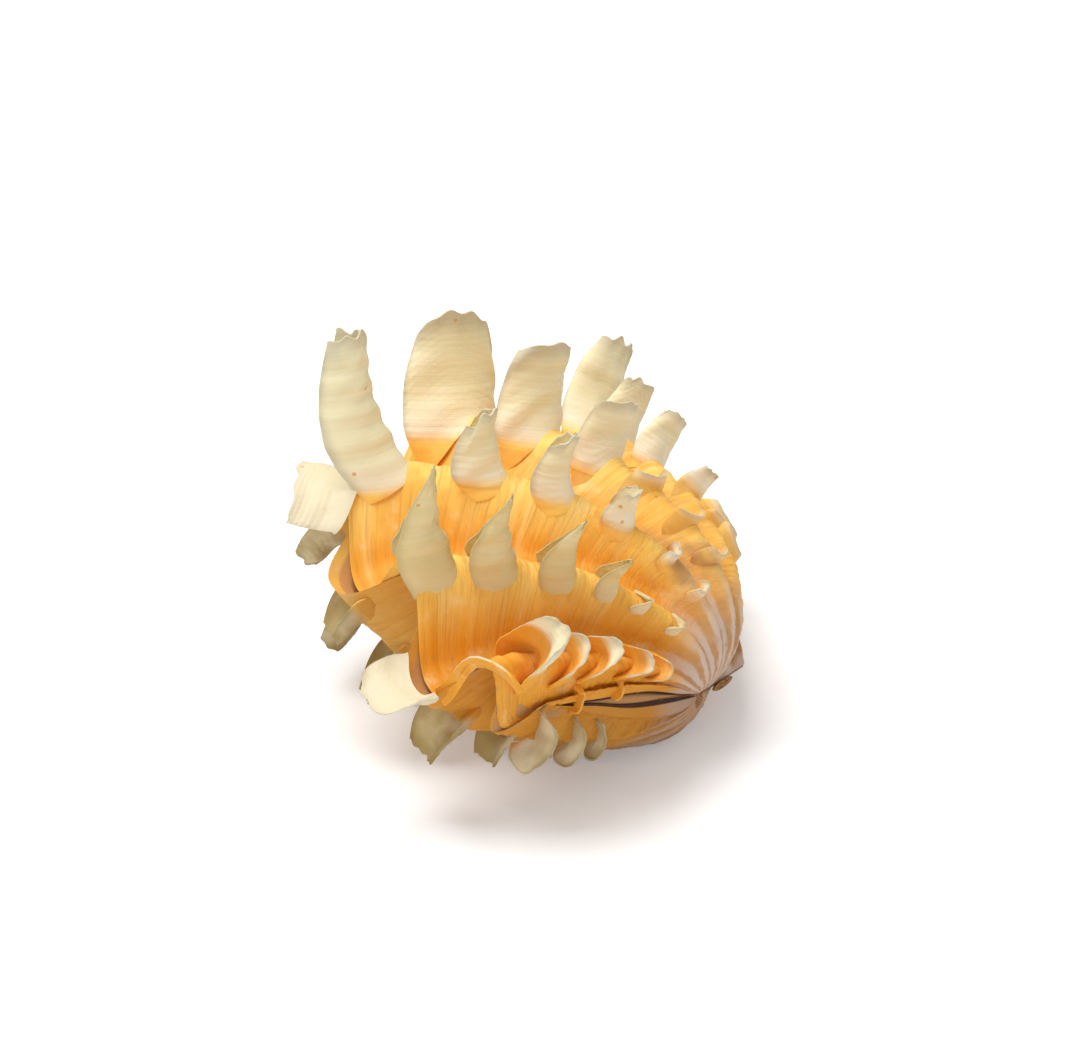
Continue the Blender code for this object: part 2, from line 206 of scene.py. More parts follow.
UPPER_LIPS = [
    (1.1, Scutes((0.985,), (0.030,), 0.38, 68, 0.1, 1.0, 0.1, 0.0, -0.05)),
    (3.0, Scutes((0.98,), (0.17,), 0.30, 84, 0.5, 0.9, 0.3, 0.0, -0.2)),
]
LOWER_SCUTES = [
    (0.5, Scutes((0.80, 0.62, 0.50), (0.08, 0.05, 0.03), 0.20, 15, 0.6, 1.3, 0.1, 0.0, -0.05)),
    (1.5, Scutes((0.80, 0.64, 0.51), (0.14, 0.09, 0.03), 0.24, 12, 0.6, 0.9, 0.1, 0.0, -0.05)),
    (2.5, Scutes((0.90, 0.76), (0.09, 0.15), 0.24, 0, 0.8, 0.8, 0.1, 0.0, -0.03)),
    (2.5, Scutes((0.63, 0.50), (0.13, 0.04), 0.24, 0, 0.8, 0.8, 0.1, 0.0, -0.03)),
    (3.5, Scutes((0.93, 0.79), (0.16, 0.25), 0.27, 0, 0.8, 0.9, 0.1, 0.0, -0.03)),
    (3.5, Scutes((0.63, 0.50), (0.17, 0.04), 0.27, 0, 0.8, 0.9, 0.1, 0.0, -0.03)),
    (4.5, Scutes((0.95, 0.79), (0.24, 0.22), 0.26, 0, 0.8, 0.9, 0.1, 0.0, -0.03)),
    (4.5, Scutes((0.65, 0.52), (0.11, 0.03), 0.26, 0, 0.8, 0.9, 0.1, 0.0, -0.03)),
    (5.5, Scutes((0.93, 0.76, 0.62), (0.16, 0.10, 0.05), 0.22, 0, 0.6, 0.9, 0.1, 0.0, -0.03)),
]
LOWER_LIPS = [
    (1.5, Scutes((0.98,), (0.13,), 0.22, 50, 0.3, 1.0, 0.3, 0.0, -0.2)),
    (3.5, Scutes((0.98,), (0.09,), 0.28, 65, 0.2, 1.0, 0.2, 0.0, -0.2)),
]

# Camera, in metres and degrees
AZIMUTH = 26.0
ELEVATION = 26.2
CAMERA_ROLL = -1.3
VIEW_WIDTH = 0.2430
BEAKS_IN_VIEW = (0.0361, -0.0372)
CAMERA_DISTANCE = 1.0

# Stage: the lamps' widths and places from the shell's middle, in metres
KEY_WIDTH = 0.7
KEY_PLACE = Vector((-0.25, -0.15, 0.9))
FILL_WIDTH = 0.8
FILL_PLACE = Vector((0.5, -0.9, 0.35))
FLOOR_GLOW = 0.22


# --- The rule of growth -------------------------------------------------------------


def spline(before, start, end, after, share):
    """A smooth value between start and end, with their neighbours' slopes."""
    slope_start = (end - before) / 2
    slope_end = (after - start) / 2
    square = share * share
    cube = square * share
    return (
        (2 * cube - 3 * square + 1) * start
        + (cube - 2 * square + share) * slope_start
        + (3 * square - 2 * cube) * end
        + (cube - square) * slope_end
    )


def outline(position):
    """x, y and scallop strength of the margin's mean line."""
    first = np.clip(np.floor(position), -1, LAST_POSITION - 1).astype(int)
    around = [OUTLINE_ROWS[np.clip(first + step, -1, LAST_POSITION) + 1] for step in (-1, 0, 1, 2)]
    return spline(*around, (position - first)[..., None])


def smooth_step(value, start, end):
    """Rises smoothly from 0 at start to 1 at end."""
    share = np.clip((value - start) / (end - start), 0, 1)
    return share * share * (3 - 2 * share)


def bump(value, start, end):
    """Rises from 0 at start to 1 midway and falls back to 0 at end."""
    share = np.clip((value - start) / (end - start), 0, 1)
    return np.sin(np.pi * share) ** 2


def rib_strength(position, stage):
    """A young shell is smooth, so at an early stage the ribs are still weak."""
    return outline(position)[..., 2] * np.clip((stage - SMOOTH) / (RIBBED - SMOOTH), 0, 1)


def ribbing(side, position, stage):
    """How far a point is on a rib's crest, 1, or in a trough, -1, for a grown shell."""
    wave = side * np.cos(2 * np.pi * position)
    return rib_strength(position, stage) * wave * (1 + ROUNDING * (1 - wave * wave))


def margin(side, position, stage):
    """A point of the scalloped margin that a full-size valve has with a stage's ribs."""
    mean = outline(position)
    wave = ribbing(side, position, stage)
    reach = 1 + RIB_REACH * (rib_strength(position, stage) + wave) / 2
    return np.stack([mean[..., 0] * reach, mean[..., 1] * reach, RIB_RISE * wave * reach], -1)


def grown(point, stage, turn):
    """A margin point at an earlier stage, smaller and turned about the hinge."""
    across = stage * (point[..., 0] * np.cos(turn) - point[..., 2] * np.sin(turn))
    up = stage * (point[..., 0] * np.sin(turn) + point[..., 2] * np.maximum(np.cos(turn), 0))
    return np.stack([across, stage * point[..., 1], up], -1)


def turn_at(side, stage):
    """How far a stage has turned about the hinge, which slows down towards the beak."""
    turn = COIL[side] * np.log(1 / stage)
    over = np.maximum(turn - FREE_TURN, 0)
    return np.minimum(turn, FREE_TURN) + BEAK_TURN * (1 - np.exp(-over / BEAK_TURN))


def outside(side, stage, position):
    """A point of a valve's outer surface, in the valve's own frame, z outward."""
    point = grown(margin(side, position, stage), stage, turn_at(side, stage))
    return point + (0, 0, CLEARANCE)


def between(side, stage, position):
    """A point of the surface that faces the other valve."""
    gape = BYSSAL_GAPE * bump(position, *GAPE_POSITIONS) * bump(stage, *GAPE_STAGES)
    point = margin(side, position, stage) * stage[..., None]
    point[..., 2] += gape + CLEARANCE
    return point


def inside(side, stage, position):
    """A point of the inner surface, which turns less and so leaves a thick umbo."""
    edge = margin(side, position, stage)
    edge = edge * (1 - RIM / np.linalg.norm(edge, axis=-1, keepdims=True))
    turn = INNER_TURN * (1 - np.exp(-COIL[side] * np.log(1 / stage) / INNER_TURN))
    return grown(edge, stage, turn * INNER_SHARE) + (0, 0, CLEARANCE)


def lying_down():
    """From the shell frame to the frame it rests in."""
    turned = Matrix.Diagonal((-1, -1, 1, 1))
    rolled = Matrix.Rotation(math.radians(ROLL), 4, "X")
    tilted = Matrix.Rotation(math.radians(TILT), 4, "Y")
    return Matrix.Translation(BEAKS) @ Matrix.Scale(HEIGHT, 4) @ tilted @ rolled @ turned


def laid(side, points):
    """Points of a valve's own frame, at their real size and place."""
    matrix = np.array(lying_down())
    flipped = points * (1, 1, side)
    rested = flipped @ matrix[:3, :3].T + matrix[:3, 3]
    rested[..., 2] = np.maximum(rested[..., 2], FLOOR_GAP)
    return rested


def noise(seed, count, *axes):
    """Smooth irregular values from about -1 to 1: a seeded sum of sines over scaled axes."""
    draws = np.random.default_rng(seed)
    total = 0
    for _ in range(count):
        phase = draws.uniform(0, 2 * np.pi)
        wave = sum(axis * draws.uniform(-1, 1) for axis in axes)
        total = total + np.sin(2 * np.pi * wave + phase)
    return total / math.sqrt(count)


# --- Relief on the wall -------------------------------------------------------------


def growth_lines(stage, position):
    """Coarse and fine ridges that follow old margins, uneven from one to the next."""
    age = np.log(1 / stage)
    drift = 0.004 * noise(3, 5, position * 1.5, age * 2)
    waves = 2 * np.pi * (age + drift)
    coarse = np.sin(waves / COARSE_SPACING + 1.5 * noise(4, 4, age * 9))
    fine = np.sin(waves / FINE_SPACING + 2.0 * noise(5, 4, age * 14))
    return coarse * (0.6 + 0.4 * noise(6, 5, age * 6, position)), fine


def relief(side, stage, position, swells):
    """Height of the wall's surface over the smooth valve, in shell heights."""
    coarse, fine = growth_lines(stage, position)
    wave = ribbing(side, position, stage)
    bend = 0.6 * noise(8, 4, stage * 3, position)
    grooves = np.cos(2 * np.pi * GROOVES_PER_RIB * position + bend)
    lumps = noise(9, 7, position * 2.2, np.log(1 / stage) * 5)
    riblets = np.cos(4 * np.pi * position)
    height = stage * (COARSE_LINES * coarse + FINE_LINES * fine + LUMPS * lumps)
    height += stage * GROOVES * grooves * smooth_step(-wave, -0.9, 0.6)
    height += stage * UMBO_RIBLETS * riblets * smooth_step(-stage, -0.55, -0.3)
    for rib, at, length, width in swells:
        ahead = (stage - at) / at
        before = np.exp(ahead / SWELL_BEHIND)
        after = np.exp(-((ahead / SWELL_AHEAD) ** 2))
        spread = np.exp(-(((position - rib) / width) ** 2))
        lift = np.where(ahead < 0, before, after)
        height += min(SWELL_SHARE * length, SWELL_MOST) * lift * spread
    return height


def wall_point(side, stage, position, swells):
    """The outer surface with its relief, which fades out at the ends, margin and beak."""
    centre = outside(side, stage, position)
    ahead = outside(side, np.minimum(stage + RELIEF_STEP, 1), position)
    behind = outside(side, stage - RELIEF_STEP, position)
    after = outside(side, stage, position + RELIEF_STEP)
    before = outside(side, stage, position - RELIEF_STEP)
    outward = np.cross(after - before, ahead - behind)
    outward /= np.maximum(np.linalg.norm(outward, axis=-1, keepdims=True), 1e-9)
    fade = smooth_step(position, 0, 0.15) * smooth_step(LAST_POSITION - position, 0, 0.3)
    fade = fade * smooth_step(1 - stage, 0, 0.01) * smooth_step(stage, 0.03, 0.12)
    return centre + outward * (relief(side, stage, position, swells) * fade)[..., None]


# --- Meshes -------------------------------------------------------------------------


class Patchwork:
    """Collects grids of points with their growth values and makes one mesh of them."""

    def __init__(self):
        self.points = []
        self.values = {name: [] for name in ("stage", "rib", "height", "ribbing", "inner", "edge")}
        self.faces = []
        self.count = 0

    def add(self, points, **values):
        """Adds a grid of points, closed round its second axis."""
        rows, columns = points.shape[:2]
        number = np.arange(rows * columns).reshape(rows, columns) + self.count
        number = np.concatenate([number, number[:, :1]], axis=1)
        corners = (number[:-1, :-1], number[:-1, 1:], number[1:, 1:], number[1:, :-1])
        self.faces.append(np.stack(corners, -1).reshape(-1, 4))
        self.points.append(points.reshape(-1, 3))
        for name, store in self.values.items():
            grid = np.broadcast_to(values.get(name, 0.0), (rows, columns))
            store.append(grid.reshape(-1))
        self.count += rows * columns

    def mesh(self, name):
        points = np.concatenate(self.points)
        faces = np.concatenate(self.faces)
        mesh = bpy.data.meshes.new(name)
        mesh.from_pydata(points.tolist(), [], faces.tolist())
        for value, store in self.values.items():
            layer = mesh.attributes.new(value, "FLOAT", "POINT")
            layer.data.foreach_set("value", np.concatenate(store).astype(np.float32))
        shape = bmesh.new()
        shape.from_mesh(mesh)
        bmesh.ops.remove_doubles(shape, verts=shape.verts, dist=WELD)
        bmesh.ops.recalc_face_normals(shape, faces=shape.faces)
        shape.to_mesh(mesh)
        shape.free()
        mesh.shade_smooth()
        mesh.set_sharp_from_angle(angle=SHARP_ANGLE)
        return mesh


def wall_grid(side, swells, rib_steps, outer_rows, inner_rows):
    """The wall's closed sections, and the growth values of their points.

    Each row is one position's section: out along the outer surface, round the beak and
    back along the inner one. The first rows close the byssal end with a rounded cap.
    """
    ages_out = YOUNGEST ** (np.linspace(0, 1, outer_rows) ** OUTER_CROWDING)
    ages_in = YOUNGEST ** (np.linspace(1, 0, inner_rows) ** INNER_CROWDING)
    turns = np.linspace(1, 0, BEAK_STEPS)[1:-1]
    cap = np.linspace(0, 1, CAP_STEPS)[:-1]
    along = np.linspace(0, LAST_POSITION, LAST_POSITION * rib_steps + 1)
    column = np.concatenate([np.zeros(len(cap)), along])
    closing = np.concatenate([1 - np.sin(cap * np.pi / 2), np.zeros(len(along))])

    position, stage = np.meshgrid(column, ages_out, indexing="ij")
    outer = wall_point(side, stage, position, swells)
    position_in, stage_in = np.meshgrid(column, ages_in, indexing="ij")
    facing = between(side, stage_in, position_in)
    room = inside(side, stage_in, position_in)
    first, full, last_full, last = HOLLOW_ENDS
    share = smooth_step(position_in, first, full) * smooth_step(-position_in, -last, -last_full)
    share = (share * smooth_step(stage_in, *HOLLOW_AGES))[..., None]
    inner = facing * (1 - share) + room * share

    edge = margin(side, column, np.full_like(column, YOUNGEST))
    youngest = np.full((len(column), len(turns)), YOUNGEST)
    turned = turn_at(side, youngest) * turns
    beak = grown(np.repeat(edge[:, None], len(turns), axis=1), youngest, turned)
    beak = beak + (0, 0, CLEARANCE)

    shut = closing[:, None, None]
    middle_out = (outside(side, stage, position) + between(side, stage, position)) / 2
    middle_in = (outside(side, stage_in, position_in) + facing) / 2
    middle_beak = (beak[:, :1] + beak[:, -1:]) / 2
    outer = outer + (middle_out - outer) * shut
    inner = inner + (middle_in - inner) * shut
    beak = beak + (middle_beak - beak) * shut

    points = np.concatenate([outer, beak, inner], axis=1)
    stages = np.concatenate([stage, youngest, stage_in], axis=1)
    places = np.broadcast_to(column[:, None], stages.shape)
    lined = np.ones_like(stage_in) - shut[..., 0]
    lining = np.concatenate([np.zeros_like(stage), np.zeros_like(youngest), lined], axis=1)
    return points, stages, places, lining


def wall_mesh(side, name, swells, detail):
    points, stages, places, lining = wall_grid(side, swells, *detail)
    patch = Patchwork()
    patch.add(
        laid(side, points),
        stage=stages,
        rib=places,
        ribbing=ribbing(side, places, stages),
        inner=lining,
    )
    return patch.mesh(name)


def breadth(height, tip):
    """A scute's width at a height, as a share of its greatest width."""
    spatula = 1 - SPATULA_TAPER * height**3
    leaf = np.clip(1 - height, 0.02, 1) ** LEAF_CURVE * (1 + height)
    opened = FOOT + (1 - FOOT) * np.sin(np.pi / 2 * np.clip(height / OPEN_AT, 0, 1))
    return opened * (tip * spatula + (1 - tip) * leaf)


def growth_frame(side, stage, position):
    """Unit vectors on the outer surface: towards the margin, along it, and outward."""
    stages = np.array([stage + FRAME_STEP, stage - FRAME_STEP, stage, stage])
    places = np.array([position, position, position + FRAME_STEP, position - FRAME_STEP])
    ahead, behind, after, before = outside(side, stages, places)
    towards = ahead - behind
    towards /= np.linalg.norm(towards)
    outward = np.cross(after - before, towards)
    outward /= np.linalg.norm(outward)
    return towards, np.cross(outward, towards), outward


def point_at(side, stage, position):
    return outside(side, np.array([stage]), np.array([position]))[0]


def scute_steps(length):
    """Columns and rows of a scute's grid."""
    if length > LONG_SCUTE:
        return 36, 52
    if length > SHORT_SCUTE:
        return 24, 26
    return 14, 12


def scute(patch, side, position, stage, length, style, seed):
    """One scute: a hooded, tapering sheet with fine growth ridges and a worn edge."""
    towards, along, outward = growth_frame(side, stage, position)
    crest = point_at(side, stage, position)
    half = style.width * stage / 2
    pace = np.linalg.norm(point_at(side, stage, position + PACE_STEP) - crest) / PACE_STEP
    speed = np.linalg.norm(point_at(side, stage - AGE_STEP, position) - crest) / AGE_STEP
    lean = math.radians(style.lean)
    rise = outward * math.cos(lean) + towards * math.sin(lean)
    upright = math.cos(lean) ** 2
    columns, rows = scute_steps(length)
    height, swing = np.meshgrid(np.linspace(0, 1, rows), np.linspace(-1, 1, columns), indexing="ij")
    swing = swing * HOOD_SWING

    # The middle sheet stands on the wall, curls forward at its sides and narrows to its tip.
    sideways = np.sin(swing) * half
    curled = (1 - np.cos(swing)) * half * style.cup
    tip_side = math.sin(style.twist) * half
    tip_ahead = (1 - math.cos(style.twist)) * half * style.cup
    narrow = 1 - (1 - breadth(height, style.tip)) * upright
    place = position + np.clip(sideways * FOOT / pace, -WIDEST, WIDEST)
    ahead = np.minimum(stage + curled * FOOT / speed, LAST_STAGE)
    level = (outside(side, ahead, place) - crest) @ outward
    sunk = ROOT * (1 + np.sin(swing) ** 2) * (1 - height) + 0.3 * ROOT * (height < 1e-6)
    sloped = style.slope * (1 - np.cos(swing - style.twist)) * narrow
    left = 1 - WORN_AWAY * (1 + noise(seed, 6, swing * 2)) - sloped
    across = tip_side + (sideways - tip_side) * narrow
    forward = tip_ahead + (curled - tip_ahead) * narrow + BOW * length * np.sin(np.pi * height)
    sheet = (
        crest
        - along * across[..., None]
        + outward * (level * (1 - height * upright) - sunk)[..., None]
        + towards * forward[..., None]
        + rise * (length * height * left)[..., None]
    )
    normal = np.cross(np.gradient(sheet, axis=1), np.gradient(sheet, axis=0))
    normal /= np.maximum(np.linalg.norm(normal, axis=-1, keepdims=True), 1e-9)
    if normal[rows // 2, columns // 2].dot(towards) < 0:
        normal = -normal

    # The two faces are thick at the foot, thin at the edge, and waved together.
    edge = np.abs(swing / HOOD_SWING)
    taper = (1 - (1 - THIN_EDGE) * height**0.7) * (1 - 0.7 * edge**6)
    thick = SHEET * min(1, 0.45 + 2.2 * length) * taper
    flare = 0.5 * SHEET * np.exp(-height * length / 0.02)
    waves = noise(seed + 1, 5, height * length * 14, swing * 0.6)
    uneven = noise(seed + 2, 3, swing * 0.7)
    ridges = np.sin(2 * np.pi * (height * left * length / RIDGE_SPACING + uneven))
    shift = WAVES * waves * smooth_step(height, 0, 0.3) + RIDGES * ridges * (length > RIDGED_FROM)
    front = sheet + normal * (thick / 2 + flare * 0.3 + shift)[..., None]
    back = sheet - normal * (thick / 2 + flare - shift)[..., None]
    top = (front[-1:] + back[-1:]) / 2
    foot = (front[:1] + back[:1]) / 2
    front = np.concatenate([foot, front, top])
    back = np.concatenate([foot, back, top])

    raised = (sheet - crest) @ outward - style.bare
    tall = np.concatenate([raised[:1], raised, raised[-1:]])
    rim = np.maximum(height**4, edge**6)
    rim = np.concatenate([rim[:1] * 0, rim, rim[-1:]])
    patch.add(
        laid(side, np.concatenate([front, back[:, ::-1]], axis=1)),
        stage=stage,
        rib=position,
        ribbing=1.0,
        height=np.maximum(np.concatenate([tall, tall[:, ::-1]], axis=1), 0.0001),
        inner=np.concatenate([np.full_like(tall, CONCAVE_SIDE), np.zeros_like(tall)], axis=1),
        edge=np.concatenate([rim, rim[:, ::-1]], axis=1),
    )


def scutes_mesh(side, name, groups):
    patch = Patchwork()
    seed = SCUTE_SEEDS[side]
    for position, style in groups:
        for stage, length in zip(style.stages, style.lengths):
            seed += SEED_STEP
            scute(patch, side, position, stage, length, style, seed)
    return patch.mesh(name)


def swells_of(groups):
    """Where the wall rises to a scute's root: rib, stage, length and width."""
    return [
        (position, stage, length, SWELL_WIDTH * style.width)
        for position, style in groups
        for stage, length in zip(style.stages, style.lengths)
    ]


# --- Materials ----------------------------------------------------------------------

GrowthValues = namedtuple(
    "GrowthValues", "stage position height crest inner edge bands lines streaks patches"
)
# The rib whose scutes get painted shade in tan
SHADED_SCUTE_ROW = 2.0


def new_group(name, inputs, outputs):
    """A shader node group with its sockets, and its input and output nodes."""
    group = bpy.data.node_groups.new(name, "ShaderNodeTree")
    for label, default in inputs:
        socket = group.interface.new_socket(label, in_out="INPUT", socket_type="NodeSocketFloat")
        socket.default_value = default
    for label in outputs:
        group.interface.new_socket(label, in_out="OUTPUT", socket_type="NodeSocketFloat")
    return group, group.nodes.new("NodeGroupInput"), group.nodes.new("NodeGroupOutput")


def set_socket(tree, socket, value):
    """Links a socket to another, or sets it to a number or a colour."""
    if isinstance(value, bpy.types.NodeSocket):
        tree.links.new(value, socket)
    elif isinstance(value, (int, float)):
        socket.default_value = value
    else:
        socket.default_value = (*value, 1)


def math_node(tree, operation, *values):
    node = tree.nodes.new("ShaderNodeMath")
    node.operation = operation
    for socket, value in zip(node.inputs, values):
        set_socket(tree, socket, value)
    return node.outputs[0]


def ramp_node(tree, value, start, end, low=0.0, high=1.0):
    """Maps value smoothly from start to end onto low to high."""
    node = tree.nodes.new("ShaderNodeMapRange")
    node.interpolation_type = "SMOOTHSTEP"
    tree.links.new(value, node.inputs["Value"])
    for label, number in zip(("From Min", "From Max", "To Min", "To Max"), (start, end, low, high)):
        node.inputs[label].default_value = number
    return node.outputs["Result"]


def mix_node(tree, share, first, second):
    node = tree.nodes.new("ShaderNodeMix")
    node.data_type = "RGBA"
    for number, value in ((0, share), (6, first), (7, second)):
        set_socket(tree, node.inputs[number], value)
    return node.outputs[2]


def noise_node(tree, vector, scale, detail, rough):
    node = tree.nodes.new("ShaderNodeTexNoise")
    node.inputs["Scale"].default_value = scale
    node.inputs["Detail"].default_value = detail
    node.inputs["Roughness"].default_value = rough
    tree.links.new(vector, node.inputs["Vector"])
    return node.outputs["Fac"]


def combine_node(tree, x, y):
    node = tree.nodes.new("ShaderNodeCombineXYZ")
    tree.links.new(x, node.inputs["X"])
    tree.links.new(y, node.inputs["Y"])
    return node.outputs[0]


def growth_bands_group():
    """Bands along old margins: values over the surface from age, place and height."""
    group, given, out = new_group(
        "growth_bands",
        [("Stage", 1.0), ("Position", 0.0), ("Height", 0.0), ("Spacing", 32.0)],
        ["Bands", "Lines", "Streaks"],
    )
    position = given.outputs["Position"]
    age = math_node(group, "LOGARITHM", given.outputs["Stage"], math.e)
    climbed = math_node(group, "MULTIPLY_ADD", given.outputs["Height"], 0.35, age)
    scaled = math_node(group, "MULTIPLY", climbed, given.outputs["Spacing"])
    flow = combine_node(group, scaled, math_node(group, "MULTIPLY", position, 0.9))
    rays = math_node(group, "MULTIPLY", position, 4.5)
    slow = math_node(group, "MULTIPLY", age, 2.5)
    streaks = noise_node(group, combine_node(group, rays, slow), 1.0, 2.0, 0.6)
    group.links.new(noise_node(group, flow, 1.0, 2.0, 0.5), out.inputs["Bands"])
    group.links.new(noise_node(group, flow, 3.1, 3.0, 0.7), out.inputs["Lines"])
    group.links.new(streaks, out.inputs["Streaks"])


def specks_group():
    """Small scattered dark specks, 1 in a speck and 0 elsewhere."""
    group, given, out = new_group("specks", [("Scale", 250.0), ("Size", 0.16)], ["Specks"])
    place = group.nodes.new("ShaderNodeTexCoord").outputs["Object"]
    cells = group.nodes.new("ShaderNodeTexVoronoi")
    group.links.new(place, cells.inputs["Vector"])
    group.links.new(given.outputs["Scale"], cells.inputs["Scale"])
    near = math_node(group, "LESS_THAN", cells.outputs["Distance"], given.outputs["Size"])
    chosen = group.nodes.new("ShaderNodeSeparateColor")
    group.links.new(cells.outputs["Color"], chosen.inputs[0])
    few = math_node(group, "GREATER_THAN", chosen.outputs[0], 0.93)
    group.links.new(math_node(group, "MULTIPLY", near, few), out.inputs["Specks"])


def group_node(tree, name, **values):
    """Adds a shader group and sets or links its inputs."""
    node = tree.nodes.new("ShaderNodeGroup")
    node.node_tree = bpy.data.node_groups[name]
    for label, value in values.items():
        set_socket(tree, node.inputs[label], value)
    return node.outputs


def attribute(tree, name):
    node = tree.nodes.new("ShaderNodeAttribute")
    node.attribute_name = name
    return node.outputs["Fac"]


def layered(tree, colour, layers):
    """Lays colours over one another, each by its own mask."""
    for share, over in layers:
        colour = mix_node(tree, share, colour, over)
    return colour


def new_material(name):
    """A material with its tree, its shader and the object's coordinates."""
    material = bpy.data.materials.new(name)
    material.use_nodes = True
    tree = material.node_tree
    place = tree.nodes.new("ShaderNodeTexCoord").outputs["Object"]
    return material, tree, tree.nodes["Principled BSDF"], place


def add_bump(tree, shader, height, strength, distance):
    bump_node = tree.nodes.new("ShaderNodeBump")
    bump_node.inputs["Strength"].default_value = strength
    bump_node.inputs["Distance"].default_value = distance
    tree.links.new(height, bump_node.inputs["Height"])
    tree.links.new(bump_node.outputs["Normal"], shader.inputs["Normal"])


def growth_values(tree, place):
    """The growth values of the surface and the patterns made from them, as sockets."""
    stage = attribute(tree, "stage")
    position = attribute(tree, "rib")
    height = attribute(tree, "height")
    made = group_node(tree, "growth_bands", Stage=stage, Position=position, Height=height)
    return GrowthValues(
        stage,
        position,
        height,
        crest=attribute(tree, "ribbing"),
        inner=attribute(tree, "inner"),
        edge=attribute(tree, "edge"),
        bands=made["Bands"],
        lines=made["Lines"],
        streaks=made["Streaks"],
        patches=noise_node(tree, place, 55.0, 3.0, 0.6),
    )


def wall_colour(tree, place, at, finish, olive):
    """The wall: crests and troughs, growth bands, clouds, dark lines, stains, a bare umbo, and
    painted shade over the lower valve.
    """
    crests = ramp_node(tree, at.crest, -0.8, 0.6)
    light_bands = ramp_node(tree, at.bands, 0.42, 0.74, 0.0, 0.5)
    front = ramp_node(tree, at.position, 2.0, 1.6, 0.0, 0.65)
    clouds = ramp_node(tree, at.patches, 0.58, 0.40, 0.0, 0.5)
    peach = ramp_node(tree, noise_node(tree, place, 130.0, 3.0, 0.65), 0.55, 0.72, 0.0, 0.4)
    dark_lines = ramp_node(tree, at.lines, 0.52, 0.34, 0.0, 0.42)
    old = ramp_node(tree, at.stage, 0.62, 0.42)
    stains = math_node(tree, "MULTIPLY", old, ramp_node(tree, at.patches, 0.48, 0.66))

    # The umbo's streaks follow its riblets, unevenly.
    riblet = math_node(tree, "MULTIPLY_ADD", at.position, 4 * math.pi, -0.5 * math.pi)
    riblet = math_node(tree, "MULTIPLY", math_node(tree, "SINE", riblet), 0.5)
    riblet = math_node(tree, "MULTIPLY_ADD", at.streaks, 2.0, riblet)
    streaks = ramp_node(tree, riblet, 0.7, 1.5)
    umbo = mix_node(tree, streaks, finish.umbo_colour, finish.streak_colour)
    bare = ramp_node(tree, at.stage, 0.36, 0.17)
    bare = math_node(tree, "MAXIMUM", bare, ramp_node(tree, at.position, 6.2, 6.8))

    layers = [
        (crests, finish.crest_colour),
        (light_bands, finish.band_colour),
        (front, finish.front_colour),
        (clouds, finish.cloud_colour),
        (peach, finish.peach_colour),
        (dark_lines, finish.line_colour),
        (stains, finish.stain_colour),
        (bare, umbo),
    ]
    # Painted shade: the lower valve's whole wall is darkened towards brown, for the shade under the
    # upper valve.
    if olive:
        layers.append((0.45, finish.lower_shade_colour))
    return layered(tree, finish.trough_colour, layers)


def scute_colour(tree, at, finish, olive):
    """The scutes: banded cream with pale roots, grey rims and chalky lips, with painted shade in
    tan on one rib's scutes and in olive on the lower valve's.
    """
    bands = ramp_node(tree, at.lines, 0.65, 0.35, 0.0, 0.45)
    roots = ramp_node(tree, at.height, 0.14, 0.04, 0.0, 0.6)
    worn = math_node(tree, "SUBTRACT", at.edge, 0.45)
    worn = math_node(tree, "MULTIPLY_ADD", at.patches, 0.9, worn)
    rims = ramp_node(tree, worn, 0.30, 1.0, 0.0, 0.65)
    # Painted shade: the scutes of rib 2, which face away from the light, take a tan in patches.
    from_shaded_row = math_node(tree, "ABSOLUTE", math_node(tree, "SUBTRACT", at.position, SHADED_SCUTE_ROW))
    tan = ramp_node(tree, from_shaded_row, 0.5, 0.3, 0.0, 0.5)
    tan = math_node(tree, "MULTIPLY", tan, ramp_node(tree, at.patches, 0.25, 0.55, 0.6, 1.0))
    layers = [
        (bands, finish.shade_colour),
        (roots, finish.base_colour),
        (rims, finish.rim_colour),
        (tan, finish.tan_shade_colour),
    ]
    # Painted shade: on the lower valve the scutes below the lips take patches of dark olive.
    if olive:
        old = math_node(tree, "LESS_THAN", at.stage, 0.965)
        olive_shade_mask = math_node(tree, "MULTIPLY", old, ramp_node(tree, at.patches, 0.30, 0.65, 0.2, 0.9))
        layers.append((olive_shade_mask, finish.olive_shade_colour))
    lips = math_node(tree, "MULTIPLY", math_node(tree, "GREATER_THAN", at.stage, 0.97), 0.7)
    layers.append((lips, finish.chalk_colour))
    return layered(tree, finish.scute_colour, layers)


